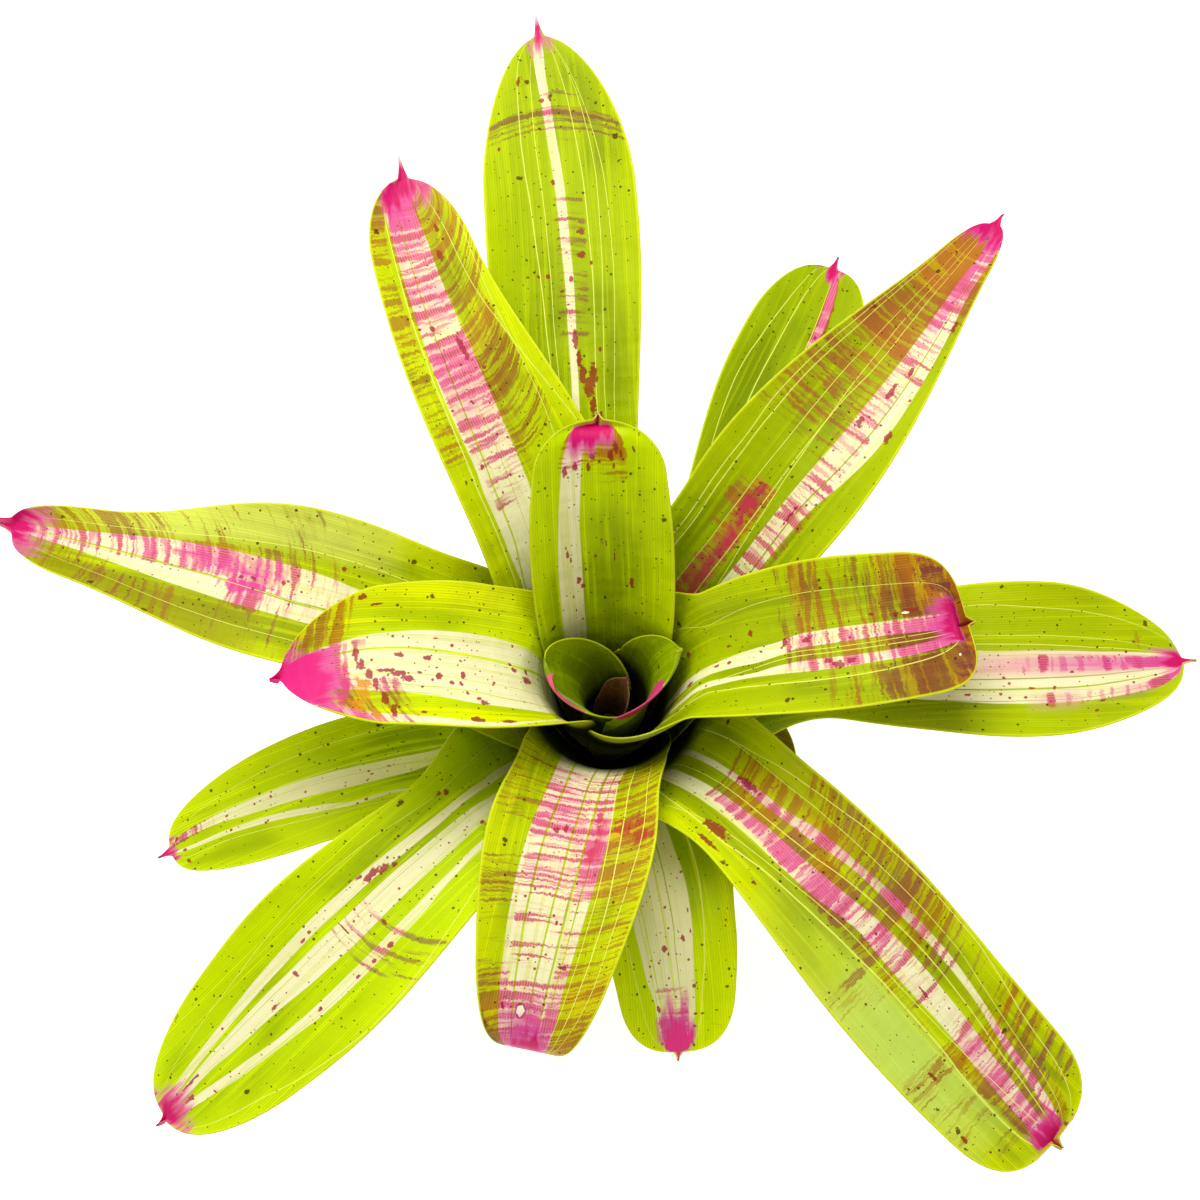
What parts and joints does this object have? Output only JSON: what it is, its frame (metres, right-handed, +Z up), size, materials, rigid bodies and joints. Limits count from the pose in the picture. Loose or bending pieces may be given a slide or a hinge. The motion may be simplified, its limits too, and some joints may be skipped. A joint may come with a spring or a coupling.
{
  "type": "bromeliad plant",
  "caption": "Rosette of arching strap leaves, striped green, cream and pink, whose nested sheaths clasp a short woody stem and form a central water cup.",
  "frame": {"origin": "middle of the flat cut face under the stem, which the plant rests on", "axes": "+Z up along the stem; +Y towards the upright inner leaf behind the central cup; +X to that leaf's right"},
  "size_m": [0.5262, 0.5179, 0.1893],
  "materials": {
    "leaf": "waxy leaf, satin gloss, striped and blotched",
    "old_leaf": "dry leaf base",
    "stem": "fibrous, with a flat cut face"
  },
  "bodies": {
    "root": {"stem": "stem", "leaf_00_heart": "leaf", "leaf_01_cup_left": "leaf", "leaf_02_cup_right": "leaf", "leaf_03_north_inner": "leaf", "leaf_04_west_inner": "leaf", "leaf_05_east_inner": "leaf", "leaf_06_northwest": "leaf", "leaf_07_south_inner": "leaf", "leaf_08_northeast": "leaf", "leaf_09_west_outer": "leaf", "leaf_10_southeast": "leaf", "leaf_11_north_outer": "leaf", "leaf_12_southwest": "leaf", "leaf_13_east_outer": "leaf", "leaf_14_south_outer": "leaf", "leaf_15_northeast_back": "leaf", "leaf_16_west_low": "leaf", "leaf_17_old": "old_leaf"}
  },
  "joints": []
}
